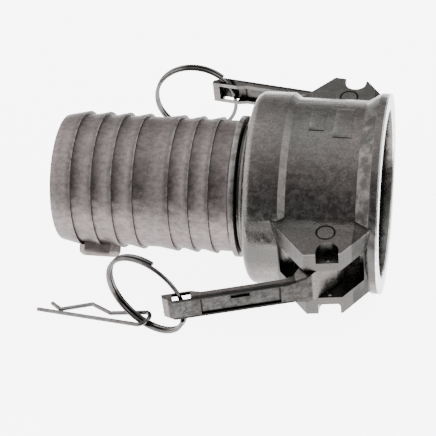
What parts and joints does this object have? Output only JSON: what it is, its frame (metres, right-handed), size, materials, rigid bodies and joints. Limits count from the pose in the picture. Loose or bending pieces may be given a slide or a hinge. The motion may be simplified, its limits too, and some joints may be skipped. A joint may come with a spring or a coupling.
{
  "type": "camlock coupling",
  "caption": "Cast steel cam-and-groove hose coupler: barbed hose shank, socket with gasket, hinged cam arms in forked ears, each with a split pull ring and a wire safety clip.",
  "frame": {"origin": "centre of the mouth face, on the bore axis", "axes": "+X along the bore axis, out of the mouth; +Z along the pivot pins, up as the coupling lies on its side; +Y towards the back arm"},
  "size_m": [0.134, 0.1272, 0.0763],
  "materials": {
    "cast_steel": "cast satin stainless steel, with a turned mouth face",
    "arm_steel": "cast satin stainless steel",
    "pin_steel": "ground stainless steel",
    "ring_wire": "polished stainless spring wire",
    "clip_wire": "polished stainless spring wire",
    "gasket_rubber": "smooth black rubber"
  },
  "bodies": {
    "coupler": {"coupler_body": "cast_steel", "gasket": "gasket_rubber", "pivot_pin_front": "pin_steel", "pivot_pin_back": "pin_steel"},
    "front_arm": {"cam_arm_front": "arm_steel"},
    "front_ring": {"pull_ring_front": "ring_wire"},
    "front_clip": {"safety_clip_front": "clip_wire"},
    "back_arm": {"cam_arm_back": "arm_steel"},
    "back_ring": {"pull_ring_back": "ring_wire"},
    "back_clip": {"safety_clip_back": "clip_wire"}
  },
  "joints": [
    {"name": "front_arm_hinge", "type": "hinge", "parent": "coupler", "child": "front_arm", "pos_m": [-0.018, -0.0379, 0], "axis": [0, 0, 1], "range_deg": [-14.5, 88]},
    {"name": "front_ring_hinge", "type": "hinge", "parent": "front_arm", "child": "front_ring", "pos_m": [-0.06664, -0.06349, 0], "axis": [0, 0, 1], "range_deg": [-1, 80]},
    {"name": "front_clip_hinge", "type": "hinge", "parent": "front_ring", "child": "front_clip", "pos_m": [-0.08676, -0.05506, -0.01804], "axis": [0.3987, 0.9171, 0], "range_deg": [-40, 6]},
    {"name": "back_arm_hinge", "type": "hinge", "parent": "coupler", "child": "back_arm", "pos_m": [-0.018, 0.0379, 0], "axis": [0, 0, -1], "range_deg": [-9.6, 95.4]},
    {"name": "back_ring_hinge", "type": "hinge", "parent": "back_arm", "child": "back_ring", "pos_m": [-0.06953, 0.05701, 0], "axis": [0, 0, -1], "range_deg": [-4, 20]},
    {"name": "back_clip_hinge", "type": "hinge", "parent": "back_ring", "child": "back_clip", "pos_m": [-0.07899, 0.05659, -0.02134], "axis": [0, -1, 0], "range_deg": [-40, 6]}
  ]
}
